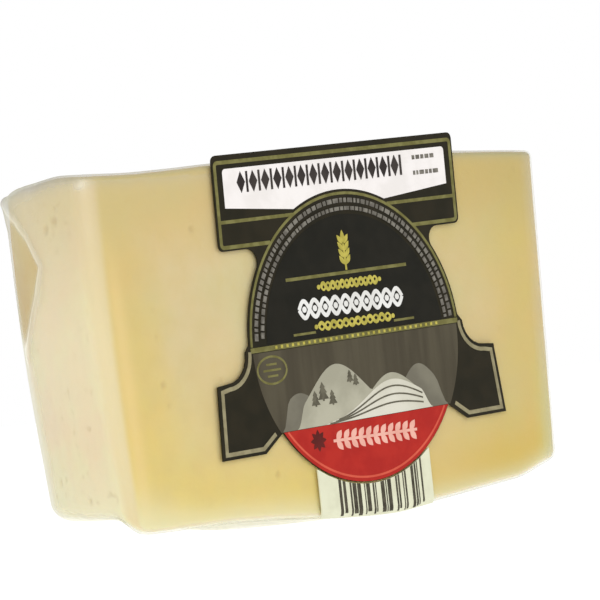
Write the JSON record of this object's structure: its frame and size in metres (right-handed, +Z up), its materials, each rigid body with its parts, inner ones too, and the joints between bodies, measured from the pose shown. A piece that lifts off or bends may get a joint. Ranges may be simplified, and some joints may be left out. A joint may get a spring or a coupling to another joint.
{
  "type": "wrapped half wheel of sheep milk cheese",
  "caption": "Half wheel of pale sheep milk cheese in tight clear film, with a shaped black label and a barcode sticker on the cut face.",
  "frame": {"origin": "under the middle of the piece's box, on the surface that it rests on", "axes": "+Z up along the wheel's axis, the flat cut face looks along -Y, +X to the right along the cut as one faces it"},
  "size_m": [0.1327, 0.0666, 0.0796],
  "materials": {
    "film_over_cheese": "clear glossy film drawn tight over pale golden cheese",
    "label_paper": "satin printed paper, mostly black",
    "sticker_paper": "satin white paper with dark bars"
  },
  "bodies": {
    "root": {"wrapped_cheese": "film_over_cheese", "front_label": "label_paper", "barcode_sticker": "sticker_paper"}
  },
  "joints": []
}
